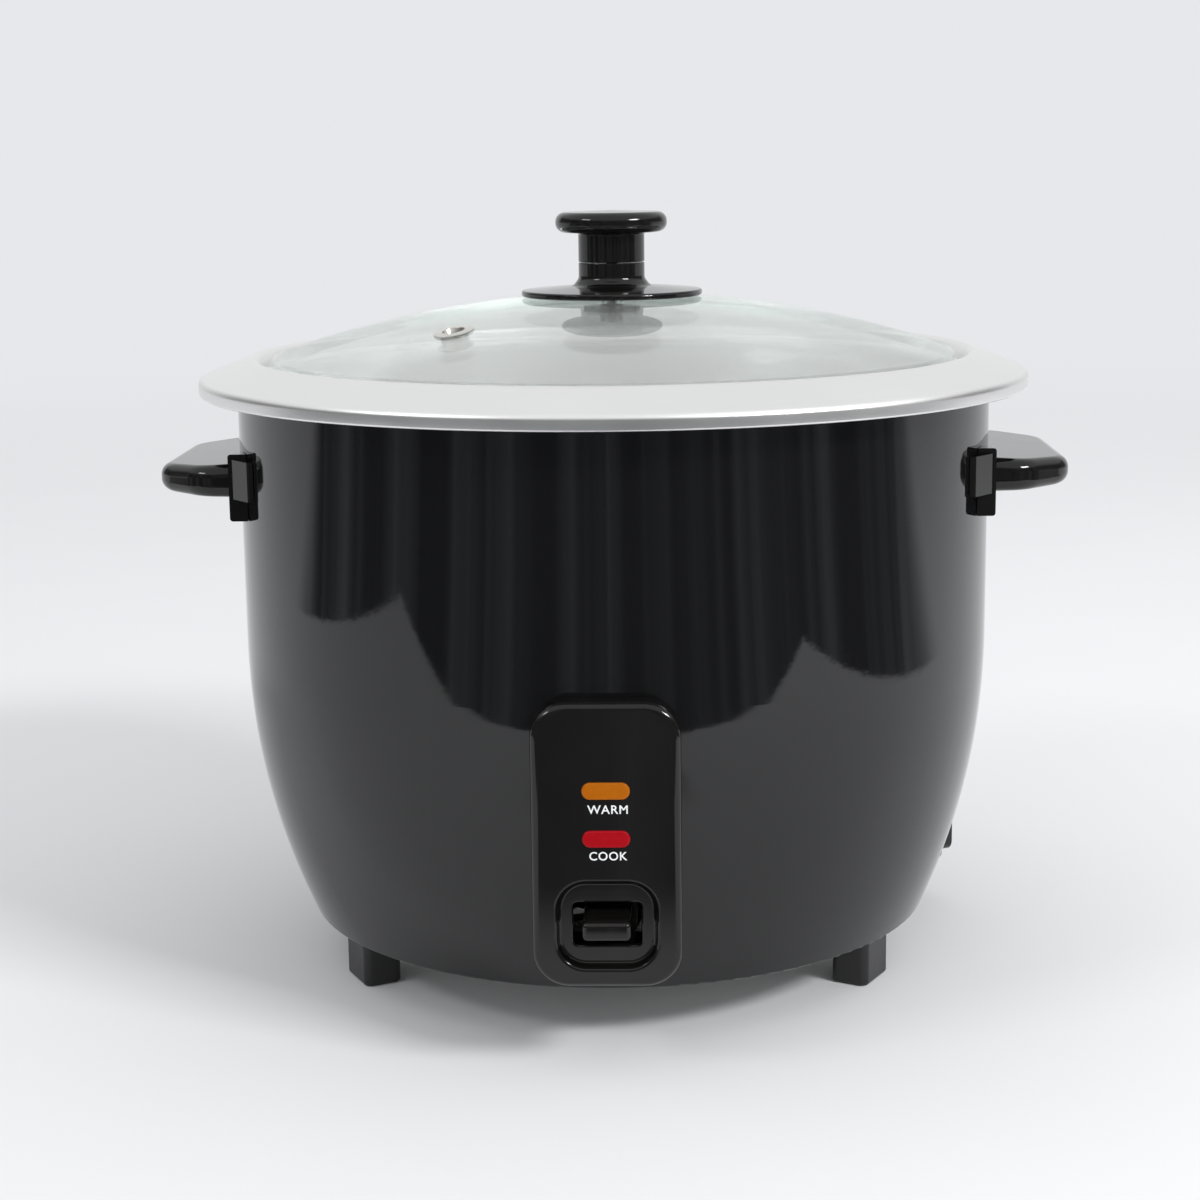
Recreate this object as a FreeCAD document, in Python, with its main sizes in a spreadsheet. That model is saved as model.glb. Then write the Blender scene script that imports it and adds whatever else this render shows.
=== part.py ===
import FreeCAD, Part
import math
import os
import re
import Sketcher

# A drum rice cooker: steel shell on three feet, control panel with a cook lever,
# lift-out pot, glass lid, heating plate and the limiter that trips the lever.
# Millimetres, +Z up, origin on the table under the middle, panel towards -Y.

Vector = FreeCAD.Vector
Rotation = FreeCAD.Rotation
Placement = FreeCAD.Placement

sizes = {
    # drawn shell: straight drum, then one large bend in to the bottom edge
    "shell_r": 126.5,
    "shell_top": 203.6,
    "shell_wall": 0.8,
    "shell_round": 2,
    "lip_r": 121.6,
    "knee_z": 66,
    "knee_bend": 228,
    "edge_r": 106.7,
    "edge_z": 19.3,
    "flange_r": 88,
    "seat_gap": 0.2,
    # clearances and small fixings
    "gap": 0.3,
    "hole_gap": 0.1,
    "screw_r": 1.5,
    "head_r": 3,
    "head_t": 2,
    # feet
    "foot_out": 99.4,
    "foot_deep": 13,
    "foot_wide": 18.8,
    "foot_round": 2.5,
    "foot_screw_z": 9,
    "foot_angle": 62,
    # chassis ring and bottom cover
    "plate_t": 1.2,
    "chassis_r": 101,
    "chassis_hole_r": 56,
    "cover_r": 85,
    "cover_z": 15.4,
    "cover_t": 0.8,
    "cover_screw_r": 70,
    "vent_in": 24,
    "vent_out": 50,
    "vent_wide": 5,
    "vent_count": 12,
    # control panel
    "panel_y": 134,
    "panel_back": 98,
    "panel_wide": 44.5,
    "panel_low": 30,
    "panel_high": 117,
    "panel_corner": 11,
    "panel_wall": 2,
    "panel_round": 2.4,
    "recess_wide": 29.3,
    "recess_low": 36.2,
    "recess_high": 62.3,
    "recess_corner": 8.5,
    "recess_deep": 3,
    "recess_round": 1.3,
    "window_round": 0.6,
    "window_wide": 20.4,
    "window_low": 42.2,
    "window_high": 55.5,
    "window_corner": 1.5,
    "boss_r": 3.6,
    "boss_high_z": 107.5,
    "boss_low_z": 34.3,
    "panel_screw_tip": 3,
    "panel_screw_long": 23.3,
    "opening_wide": 35,
    "opening_low": 40.5,
    "opening_high": 100,
    "opening_back": 90,
    # lamps and lenses
    "amber_z": 90.6,
    "red_z": 76,
    "lens_wide": 14.2,
    "lens_high": 5.2,
    "lens_proud": 0.6,
    "lens_flange": 1.4,
    "flange_t": 1,
    "lamp_r": 2.6,
    "lamp_long": 15,
    "lamp_y": 126,
    "holder_y": 120,
    "holder_t": 4,
    "holder_wide": 20,
    "holder_low": 70,
    "holder_high": 97,
    "rib_high": 3,
    # side handles
    "ear_tip": 151,
    "ear_half": 42,
    "ear_tip_half": 28,
    "ear_shoulder": 135,
    "ear_low": 163.5,
    "ear_high": 176.4,
    "ear_tip_low": 164.6,
    "ear_tip_high": 173.6,
    "ear_round": 4,
    "ear_corner": 14,
    "root_x": 100,
    "pad_low": 164.4,
    "pad_high": 177.3,
    "pad_half": 54,
    "pad_end_x": 116.4,
    "lug_low": 157,
    "lug_high": 179,
    "lug_x": 124.2,
    "lug_y": 38.6,
    "lug_wide": 7,
    "lug_round": 1,
    "handle_screw_y": 24,
    "handle_screw_z": 170,
    "handle_screw_x": 122.3,
    "handle_screw_long": 16,
    # power inlet, built along +X and then turned to its place
    "inlet_angle": 24,
    "inlet_x": 127,
    "inlet_wide": 31,
    "inlet_low": 18.6,
    "inlet_high": 43.6,
    "inlet_depth": 24,
    "inlet_corner": 4,
    "inlet_flange_x": 117.5,
    "inlet_flange_wide": 49,
    "socket_wide": 24.4,
    "socket_high": 16.6,
    "socket_deep": 17,
    "socket_z": 31,
    "pin_wide": 4,
    "pin_thick": 2,
    "pin_long": 34,
    "pin_tip_x": 124,
    "pin_side": 7,
    "pin_drop": 2,
    "earth_rise": 2.6,
    "inlet_screw_y": 20,
    "inlet_screw_long": 14,
    # heating plate, element and posts
    "heat_top": 74,
    "heat_r": 86,
    "heat_hole": 19,
    "heat_low": 66,
    "heat_edge": 2,
    "ridge_low": 59.5,
    "ridge_in": 51,
    "ridge_out": 65,
    "ridge_draft": 1.5,
    "tube_ring": 58,
    "tube_z": 64,
    "tube_r": 3.4,
    "tube_sweep": 320,
    "tube_end_z": 56,
    "tab_r": 1.4,
    "tab_low": 49,
    "bead_r": 3,
    "bead_t": 2.5,
    "post_ring": 75,
    "post_r": 4.5,
    "post_screw_r": 2,
    "post_screw_top": 71,
    "post_head_r": 3.5,
    # magnetic limiter in the middle of the plate
    "cap_r": 17.4,
    "cap_wall": 1,
    "cap_low": 58.5,
    "cap_round": 1.5,
    "ferrite_r": 13,
    "ferrite_t": 5,
    "magnet_r": 12,
    "magnet_t": 6,
    "magnet_gap": 4.4,
    "rod_r": 2,
    "rod_low": 31.9,
    "collar_r": 5.5,
    "collar_t": 1.5,
    "collar_z": 36.6,
    "nut_r": 4.5,
    "nut_t": 2,
    "seat_z": 46,
    "seat_t": 1.5,
    "seat_r": 17,
    "strap_x": 19.6,
    "strap_wide": 12,
    "strap_foot": 15,
    "strap_screw_x": 29,
    "sensor_spring_r": 14.9,
    "sensor_wire": 0.6,
    "sensor_turns": 6,
    "limiter_spring_r": 4.6,
    "limiter_wire": 0.4,
    "limiter_turns": 4,
    # cook lever: bent strip on a pin, with a moulded tongue in the panel window
    "pivot_y": 70,
    "pivot_z": 42,
    "pin_r": 2,
    "pin_head": 1,
    "strip_wide": 12,
    "strip_t": 1.5,
    "strip_front": 137,
    "strip_front_z": 49,
    "strip_mid_z": 46.5,
    "strip_end_z": 36,
    "strip_end": 6,
    "fork_wide": 5,
    "fork_long": 26,
    "bend_front": 114,
    "bend_fall": 102,
    "bend_back": 58,
    "bend_end": 24,
    "cheek_t": 1.5,
    "cheek_wide": 9,
    "cheek_low": 38.5,
    "bracket_x": 6.3,
    "bracket_wide": 14,
    "bracket_base": 28,
    "bracket_high": 45,
    "tongue_wide": 14.3,
    "tongue_y": 141.5,
    "tongue_back": 122,
    "tongue_low": 46.9,
    "tongue_high": 51.6,
    "tongue_round": 1.6,
    "tongue_slope": 1,
    "tongue_flat": 8,
    # micro switch under the lever
    "switch_y": 98,
    "switch_x": 3,
    "switch_long": 17,
    "switch_wide": 6.4,
    "switch_high": 38,
    "plunger_y": 93,
    "plunger_r": 1.6,
    "plunger_top": 44.7,
    "plunger_low": 34,
    "plunger_play": 2.5,
    "switch_screw_z": 27,
    "switch_screw_in": 4,
    # keep-warm thermostat and thermal fuse under the plate
    "warm_y": 33,
    "warm_r": 8,
    "warm_t": 9,
    "warm_screw_x": 12,
    "fuse_r": 2.6,
    "fuse_long": 24,
    "fuse_y": 29,
    "clip_t": 0.8,
    "clip_wide": 8,
    "clip_x": 8,
    "clip_loop": 4,
    "clip_reach": 8,
    # lift-out pot
    "pot_sheet": 1.6,
    "brim_r": 139,
    "brim_low": 196.6,
    "brim_top": 201.4,
    "brim_round": 2.3,
    "brim_under": 200.1,
    "crest_r": 120,
    "crest_z": 208.5,
    "crest_round": 2.4,
    "crest_under_r": 120.8,
    "crest_under_z": 206.5,
    "step_r": 117.4,
    "step_under_r": 118.4,
    "ledge_z": 202.9,
    "step_round": 0.6,
    "hem_round": 0.4,
    "pot_r": 111,
    "pot_low_r": 109.5,
    "pot_bend": 24,
    # glass lid and knob
    "dome_r": 348,
    "dome_top": 227,
    "glass_t": 4,
    "lid_r": 115,
    "lid_edge": 1.4,
    "knob_hole_r": 4,
    "vent_x": -48.4,
    "vent_y": -58,
    "eyelet_r": 4.4,
    "eyelet_bore": 3,
    "eyelet_top_r": 6.5,
    "eyelet_low_r": 5.8,
    "eyelet_t": 0.7,
    "disc_r": 30.5,
    "disc_edge_low": 226.2,
    "disc_edge_high": 228.2,
    "disc_edge_round": 0.7,
    "disc_hub_r": 13,
    "disc_hub_z": 229.6,
    "disc_hub_round": 2.5,
    "stem_r": 11.15,
    "seam_z": 237.4,
    "seam_half": 0.1,
    "seam_round": 0.3,
    "knob_r": 18.8,
    "knob_low": 247.3,
    "knob_high": 254,
    "knob_crown": 254.6,
    "knob_round": 3.2,
    "knob_neck": 1,
    "knob_bolt_r": 2,
    "knob_bolt_top": 246,
    "bolt_head_r": 4,
    "bolt_head_t": 2.6,
    "washer_r": 9,
    "washer_t": 1,
    "gasket_r": 9.5,
    "gasket_t": 1.8,
    # inner leads
    "lead_r": 1.1,
    "lead_bend": 6,
    "plate_screw_long": 4,
}

doc = FreeCAD.newDocument("rice_cooker")
sheet = doc.addObject("Spreadsheet::Sheet", "Sizes")
nodes = []


def fill_sheet():
    for row, (name, number) in enumerate(sizes.items(), 1):
        sheet.set(f"A{row}", name)
        sheet.set(f"B{row}", str(number))
        sheet.setAlias(f"B{row}", name)
    doc.recompute()


def linked(text):
    # writes each cell name with the sheet's name before it
    return re.sub(r"[a-z]\w*", lambda word: f"Sizes.{word[0]}" if word[0] in sizes else word[0], str(text))


def value(text):
    return float(sheet.evalExpression(linked(text)))


def bind(thing, prop, text):
    thing.setExpression(prop, linked(text))


def node(thing, label):
    thing.Label = label
    nodes.append(thing)
    return thing


# Sketch tools

def new_sketch(body, role, start="0"):
    # a sketch on one of the body's own origin planes, moved along its normal
    drawing = body.newObject("Sketcher::SketchObject", "Sketch")
    plane = [feature for feature in body.Origin.OriginFeatures if feature.Role == role][0]
    drawing.AttachmentSupport = (plane, [""])
    drawing.MapMode = "FlatFace"
    bind(drawing, "AttachmentOffset.Base.z", start)
    return drawing


def hold(drawing, kind, parts, text):
    # one dimension of a sketch, tied to the sheet
    number = drawing.addConstraint(Sketcher.Constraint(kind, *parts, value(text)))
    name = f"size{number}_{drawing.GeometryCount}"
    drawing.renameConstraint(number, name)
    bind(drawing, f"Constraints.{name}", text)


def draw(drawing, corners):
    # a closed outline; a third entry in a corner is its rounding radius
    first = drawing.GeometryCount
    count = len(corners)
    points = [Vector(value(corner[0]), value(corner[1]), 0) for corner in corners]
    for i in range(count):
        drawing.addGeometry(Part.LineSegment(points[i], points[(i + 1) % count]), False)
    for i in range(count):
        after = first + (i + 1) % count
        drawing.addConstraint(Sketcher.Constraint("Coincident", first + i, 2, after, 1))
    for i, corner in enumerate(corners):
        hold(drawing, "DistanceX", (-1, 1, first + i, 1), corner[0])
        hold(drawing, "DistanceY", (-1, 1, first + i, 1), corner[1])
    for i, corner in enumerate(corners):
        if len(corner) == 3:
            arc = drawing.GeometryCount
            before = first + (i - 1) % count
            drawing.fillet(before, 2, value(corner[2]), True, True)
            hold(drawing, "Radius", (arc,), corner[2])


def draw_circle(drawing, across, up, radius):
    first = drawing.GeometryCount
    centre = Vector(value(across), value(up), 0)
    drawing.addGeometry(Part.Circle(centre, Vector(0, 0, 1), value(radius)), False)
    hold(drawing, "DistanceX", (-1, 1, first, 3), across)
    hold(drawing, "DistanceY", (-1, 1, first, 3), up)
    hold(drawing, "Radius", (first,), radius)


def rectangle(left, right, low, high, corner=None):
    ends = [(left, low), (right, low), (right, high), (left, high)]
    return [end + (corner,) for end in ends] if corner else ends


def centred(wide, low, high, corner=None):
    return rectangle(f"-({wide}) / 2", f"({wide}) / 2", low, high, corner)


# Body features

def new_body(name):
    return doc.addObject("PartDesign::Body", name)


def turned(name, corners):
    body = new_body(name)
    drawing = new_sketch(body, "XZ_Plane")
    draw(drawing, corners)
    turn = body.newObject("PartDesign::Revolution", "Turn")
    turn.Profile = drawing
    turn.ReferenceAxis = (drawing, ["V_Axis"])
    turn.Angle = 360
    return body


def add_pad(body, role, corners, start, length):
    drawing = new_sketch(body, role, start)
    draw(drawing, corners)
    pad = body.newObject("PartDesign::Pad", "Pad")
    pad.Profile = drawing
    bind(pad, "Length", length)
    return pad


def add_post(body, role, across, up, radius, start, length):
    drawing = new_sketch(body, role, start)
    draw_circle(drawing, across, up, radius)
    pad = body.newObject("PartDesign::Pad", "Post")
    pad.Profile = drawing
    bind(pad, "Length", length)


def add_pocket(body, role, corners, start, length, along_normal=False):
    # cuts against the plane's normal unless told otherwise, and makes sure that it cut
    doc.recompute()
    before = body.Shape.Volume
    drawing = new_sketch(body, role, start)
    draw(drawing, corners)
    pocket = body.newObject("PartDesign::Pocket", "Pocket")
    pocket.Profile = drawing
    bind(pocket, "Length", length)
    pocket.Reversed = along_normal
    doc.recompute()
    if not body.Shape.Volume < before:
        raise RuntimeError(f"a pocket in {body.Label} cut nothing")


def round_edges(body, wanted, radius):
    # rounds the edges of the last feature that the test picks
    doc.recompute()
    base = body.Tip
    names = [f"Edge{i}" for i, edge in enumerate(base.Shape.Edges, 1) if wanted(edge)]
    fillet = body.newObject("PartDesign::Fillet", "Fillet")
    fillet.Base = (base, names)
    bind(fillet, "Radius", radius)


def slab(name, role, corners, start, length):
    body = new_body(name)
    add_pad(body, role, corners, start, length)
    return body


# Primitives and booleans

axes = {
    "x": Rotation(Vector(0, 1, 0), 90),
    "y": Rotation(Vector(1, 0, 0), -90),
    "z": Rotation(),
}


def put(thing, x, y, z, turn=Rotation()):
    thing.Placement = Placement(Vector(0, 0, 0), turn)
    for letter, text in zip("xyz", (x, y, z)):
        bind(thing, f"Placement.Base.{letter}", text)
    return thing


def box(x, y, z, long, wide, high):
    thing = doc.addObject("Part::Box", "Box")
    bind(thing, "Length", long)
    bind(thing, "Width", wide)
    bind(thing, "Height", high)
    return put(thing, x, y, z)


def rod(radius, length, x, y, z, axis="z"):
    thing = doc.addObject("Part::Cylinder", "Rod")
    bind(thing, "Radius", radius)
    bind(thing, "Height", length)
    return put(thing, x, y, z, axes[axis])


def ball(radius, x, y, z):
    thing = doc.addObject("Part::Sphere", "Ball")
    bind(thing, "Radius", radius)
    return put(thing, x, y, z)


def fuse(*things):
    joined = doc.addObject("Part::MultiFuse", "Fuse")
    joined.Shapes = list(things)
    joined.Refine = True
    return joined


def cut(base, *tools):
    result = doc.addObject("Part::Cut", "Cut")
    result.Base = base
    result.Tool = tools[0] if len(tools) == 1 else fuse(*tools)
    return result


def common(first, second):
    result = doc.addObject("Part::Common", "Common")
    result.Base = first
    result.Tool = second
    return result


def group(things):
    result = doc.addObject("Part::Compound", "Group")
    result.Links = things
    return result


def turn_about_z(thing, degrees):
    thing.Placement = Placement(Vector(0, 0, 0), Rotation(Vector(0, 0, 1), degrees))
    return thing


def screw(x, y, z, axis, length, radius="screw_r", head="head_r", head_t="head_t", head_at="low"):
    # a shank that starts at the point and runs along the axis, with its head before or after it
    shank = rod(radius, length, x, y, z, axis)
    spot = {"x": x, "y": y, "z": z}
    step = f"-({head_t})" if head_at == "low" else f"({length})"
    spot[axis] = f"({spot[axis]}) + {step}"
    return fuse(shank, rod(head, head_t, spot["x"], spot["y"], spot["z"], axis))


def spring(turns, ring, wire, low, high):
    # one unbroken wire along quarter-turn arcs, with both end turns inside the given heights
    pitch = (high - low - 2 * wire) / turns

    def point(quarters):
        angle = quarters * math.pi / 2
        return Vector(ring * math.cos(angle), ring * math.sin(angle), low + wire + pitch * quarters / 4)

    arcs = [Part.Arc(point(i), point(i + 0.5), point(i + 1)).toShape() for i in range(4 * turns)]
    path = Part.Wire(arcs)
    first = path.Edges[0]
    section = Part.Wire([Part.makeCircle(wire, point(0), first.tangentAt(first.FirstParameter))])
    coil = path.makePipeShell([section], True, False)
    print(f"spring: least gap between turns {pitch - 2 * wire:.2f} mm")
    feature = doc.addObject("Part::Feature", "Coil")
    feature.Shape = coil
    return feature


def lead(points):
    # a round lead along straight runs joined by arcs of one bend radius
    corners = [Vector(*[value(text) for text in point]) for point in points]
    bend = sizes["lead_bend"]
    edges = []
    start = corners[0]
    for before, corner, after in zip(corners, corners[1:], corners[2:]):
        inward = (before - corner).normalize()
        onward = (after - corner).normalize()
        half = inward.getAngle(onward) / 2
        reach = bend / math.tan(half)
        middle = (inward + onward).normalize()
        first = corner + inward * reach
        last = corner + onward * reach
        top = corner + middle * (bend / math.sin(half) - bend)
        edges.append(Part.LineSegment(start, first).toShape())
        edges.append(Part.Arc(first, top, last).toShape())
        start = last
    edges.append(Part.LineSegment(start, corners[-1]).toShape())
    path = Part.Wire(edges)
    section = Part.Wire([Part.makeCircle(sizes["lead_r"], corners[0], corners[1] - corners[0])])
    feature = doc.addObject("Part::Feature", "Lead")
    feature.Shape = path.makePipeShell([section], True, False)
    wanted = math.pi * sizes["lead_r"] ** 2 * path.Length
    print(f"lead: volume {feature.Shape.Volume:.0f} of {wanted:.0f}")
    return feature


def around(radius, start, count):
    # evenly spaced places round the middle, as pairs of expressions
    angles = [start + 360 / count * i for i in range(count)]
    return [(f"({radius}) * cos({angle})", f"({radius}) * sin({angle})") for angle in angles]


fill_sheet()

# Shared places
foot_places = around("foot_out - foot_deep / 2", 90, 1)
for side in ("-1", "1"):
    foot_places.append((
        f"{side} * (foot_out - foot_deep / 2) * sin(foot_angle)",
        "-(foot_out - foot_deep / 2) * cos(foot_angle)",
    ))
post_places = around("post_ring", 90, 3)
cover_screw_places = around("cover_screw_r", 0, 3)
chassis_top = "edge_z + shell_wall + plate_t"
handle_screw_sides = ("-handle_screw_y", "handle_screw_y")

# Everything inside the shell's outer face, a little larger: what sits on the shell is cut to fit it
envelope = turned("shell_envelope", [
    ("0", "edge_z / 2"),
    ("edge_r + seat_gap", "edge_z / 2"),
    ("edge_r + seat_gap", "edge_z"),
    ("shell_r + seat_gap", "knee_z", "knee_bend"),
    ("shell_r + seat_gap", "shell_top"),
    ("0", "shell_top"),
])


def make_shell():
    drawn = turned("drawn_shell", [
        ("shell_r", "shell_top", "shell_round"),
        ("shell_r", "knee_z", "knee_bend"),
        ("edge_r", "edge_z", "shell_wall * 1.4"),
        ("flange_r", "edge_z"),
        ("flange_r", "edge_z + shell_wall"),
        ("edge_r - shell_wall / 2", "edge_z + shell_wall", "shell_wall / 2"),
        ("shell_r - shell_wall", "knee_z", "knee_bend - shell_wall"),
        ("shell_r - shell_wall", "shell_top - shell_wall", "shell_round - shell_wall"),
        ("lip_r", "shell_top - shell_wall"),
        ("lip_r", "shell_top"),
    ])
    opening = box("-opening_wide / 2", "-panel_y", "opening_low",
                  "opening_wide", "panel_y - opening_back", "opening_high - opening_low")
    holes = [rod("screw_r + hole_gap", "panel_y", "0", "-panel_y", height, "y")
             for height in ("boss_low_z", "boss_high_z")]
    holes += [rod("screw_r + hole_gap", "2 * ear_tip", "-ear_tip", side, "handle_screw_z", "x")
              for side in handle_screw_sides]
    holes += [rod("screw_r + hole_gap", "edge_z", x, y, "edge_z / 2") for x, y in foot_places]
    socket = box("inlet_x - inlet_depth", "-inlet_wide / 2 - hole_gap", "inlet_low - hole_gap",
                 "inlet_depth", "inlet_wide + 2 * hole_gap", "inlet_high - inlet_low + 2 * hole_gap")
    inlet_holes = [rod("screw_r + hole_gap", "inlet_depth", "inlet_x - inlet_depth", side, "socket_z", "x")
                   for side in ("-inlet_screw_y", "inlet_screw_y")]
    inlet_way = turn_about_z(group([socket] + inlet_holes), sizes["inlet_angle"])
    panel_side = cut(drawn, opening, *holes)
    node(cut(panel_side, inlet_way), "outer_shell")


def make_foot(label, degrees):
    # the block is built at +X and turned to its place
    body = slab(f"{label}_block", "XY_Plane", rectangle(
        "foot_out - foot_deep", "foot_out", "-foot_wide / 2", "foot_wide / 2", "foot_round"), "0", "edge_z")
    round_edges(body, lambda edge: edge.BoundBox.ZMax < 0.1, "foot_round / 2")
    hole = rod("screw_r + hole_gap", "edge_z", "foot_out - foot_deep / 2", "0", "foot_screw_z - head_t / 2")
    node(turn_about_z(cut(body, hole), degrees), label)


def make_base():
    ring = turned("chassis_ring", [
        ("chassis_hole_r", "edge_z + shell_wall"),
        ("chassis_r", "edge_z + shell_wall"),
        ("chassis_r", chassis_top),
        ("chassis_hole_r", chassis_top),
    ])
    holes = [rod("screw_r + hole_gap", "edge_z", x, y, "edge_z / 2")
             for x, y in foot_places + cover_screw_places]
    holes += [rod("post_screw_r + hole_gap", "edge_z", x, y, "edge_z / 2") for x, y in post_places]
    node(cut(ring, *holes), "chassis_plate")

    foot_screws = [screw(x, y, "foot_screw_z", "z", f"{chassis_top} - foot_screw_z", head_at="high")
                   for x, y in foot_places]
    node(group(foot_screws), "foot_screws")

    pan = turned("cover_pan", [
        ("0", "cover_z"),
        ("cover_r", "cover_z", "3 * cover_t"),
        ("cover_r", "edge_z + shell_wall"),
        ("cover_r - cover_t", "edge_z + shell_wall"),
        ("cover_r - cover_t", "cover_z + cover_t", "2 * cover_t"),
        ("0", "cover_z + cover_t"),
    ])
    vents = []
    for i in range(sizes["vent_count"]):
        slot = box("vent_in", "-vent_wide / 2", "cover_z - cover_t",
                   "vent_out - vent_in", "vent_wide", "3 * cover_t")
        vents.append(turn_about_z(group([slot]), 360 / sizes["vent_count"] * i))
    fixings = [rod("screw_r + hole_gap", "3 * cover_t", x, y, "cover_z - cover_t")
               for x, y in cover_screw_places]
    node(cut(pan, *vents, *fixings), "bottom_cover")
    cover_screws = [screw(x, y, "cover_z", "z", f"{chassis_top} + head_t - cover_z")
                    for x, y in cover_screw_places]
    node(group(cover_screws), "cover_screws")


def in_face(edge, depth, opening):
    # whether an edge lies in the plane that far behind the panel's front, on the opening's outline
    span = edge.BoundBox
    front = depth - sizes["panel_y"]
    half = sizes[f"{opening}_wide"] / 2 + 0.1
    flat = abs(span.YMin - front) < 0.01 and abs(span.YMax - front) < 0.01
    across = span.XMin > -half and span.XMax < half
    return flat and across and span.ZMin > sizes[f"{opening}_low"] - 0.1 \
        and span.ZMax < sizes[f"{opening}_high"] + 0.1


def make_panel():
    body = new_body("panel_moulding")
    add_pad(body, "XZ_Plane", centred("panel_wide", "panel_low", "panel_high", "panel_corner"),
            "panel_back", "panel_y - panel_back")
    round_edges(body, lambda edge: edge.BoundBox.YMax < 0.1 - sizes["panel_y"], "panel_round")
    add_pocket(body, "XZ_Plane", centred("panel_wide - 2 * panel_wall", "panel_low + panel_wall",
               "panel_high - panel_wall", "panel_corner - panel_wall"),
               "panel_back", "panel_y - panel_back - panel_wall", along_normal=True)
    tub_y = "panel_y - panel_wall - recess_deep"
    add_pad(body, "XZ_Plane", centred("recess_wide + 2 * panel_wall", "recess_low - panel_wall",
            "recess_high + panel_wall", "recess_corner"), tub_y, "recess_deep + panel_wall / 2")
    for height in ("boss_low_z", "boss_high_z"):
        add_post(body, "XZ_Plane", "0", height, "boss_r", "panel_back",
                 "panel_y - panel_back - panel_wall / 2")
    add_pocket(body, "XZ_Plane", centred("recess_wide", "recess_low", "recess_high", "recess_corner"),
               "panel_y", "recess_deep")
    for depth in (0, sizes["recess_deep"]):
        round_edges(body, lambda edge: in_face(edge, depth, "recess"), "recess_round")
    add_pocket(body, "XZ_Plane", centred("window_wide", "window_low", "window_high", "window_corner"),
               "panel_y", "panel_y - panel_back")
    round_edges(body, lambda edge: in_face(edge, sizes["recess_deep"], "window"), "window_round")
    for height in ("amber_z", "red_z"):
        add_pocket(body, "XZ_Plane", lens_outline(height, "hole_gap / 2"), "panel_y", "2 * panel_wall")
    pilots = [rod("screw_r + hole_gap", "panel_y - panel_wall - panel_back", "0", "panel_wall - panel_y",
                  height, "y") for height in ("boss_low_z", "boss_high_z")]
    node(cut(body, envelope, *pilots), "control_panel")
    tip = "panel_screw_tip - panel_y"
    screws = [
        screw("0", tip, "boss_high_z", "y", "panel_y - shell_r + shell_wall - panel_wall", head_at="high"),
        screw("0", tip, "boss_low_z", "y", "panel_screw_long", head_at="high"),
    ]
    node(group(screws), "panel_screws")


def lens_outline(height, grow="0"):
    half = f"(lens_high / 2 + {grow})"
    return centred(f"lens_wide + 2 * {grow}", f"{height} - {half}", f"{height} + {half}", f"{half} * 0.96")


def make_lamp(colour, height):
    lens = new_body(f"{colour}_window")
    half = "(lens_high / 2 + lens_flange)"
    add_pad(lens, "XZ_Plane", centred("lens_wide + 2 * lens_flange", f"{height} - {half}",
            f"{height} + {half}", "lens_flange"),
            "panel_y - panel_wall - hole_gap - flange_t", "flange_t")
    add_pad(lens, "XZ_Plane", lens_outline(height), "panel_y - panel_wall - hole_gap - flange_t / 2",
            "panel_wall + hole_gap + flange_t / 2 + lens_proud")
    front = -sizes["panel_y"] - sizes["lens_proud"] / 2
    round_edges(lens, lambda edge: edge.BoundBox.YMax < front, "lens_proud")
    node(lens, f"{colour}_lens")
    lamp = turned(f"{colour}_bulb", [
        ("0", "-lamp_long / 2"),
        ("lamp_r", "-lamp_long / 2", "lamp_r / 3"),
        ("lamp_r", "lamp_long / 2", "lamp_r * 0.8"),
        ("0", "lamp_long / 2"),
    ])
    put(lamp, "0", "-lamp_y", height, axes["x"])
    node(lamp, f"{colour}_lamp")


def make_lamp_holder():
    tray = box("-holder_wide / 2", "-holder_y - holder_t", "holder_low", "holder_wide", "holder_t",
               "holder_high - holder_low")
    middle = "(amber_z + red_z) / 2"
    rib = box("-holder_wide / 2", "panel_wall - panel_y", f"{middle} - rib_high / 2",
              "holder_wide", "panel_y - panel_wall - holder_y", "rib_high")
    beds = [rod("lamp_r + hole_gap", "holder_wide", "-holder_wide / 2", "-lamp_y", height, "x")
            for height in ("amber_z", "red_z")]
    node(cut(fuse(tray, rib), *beds), "lamp_holder")


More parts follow.
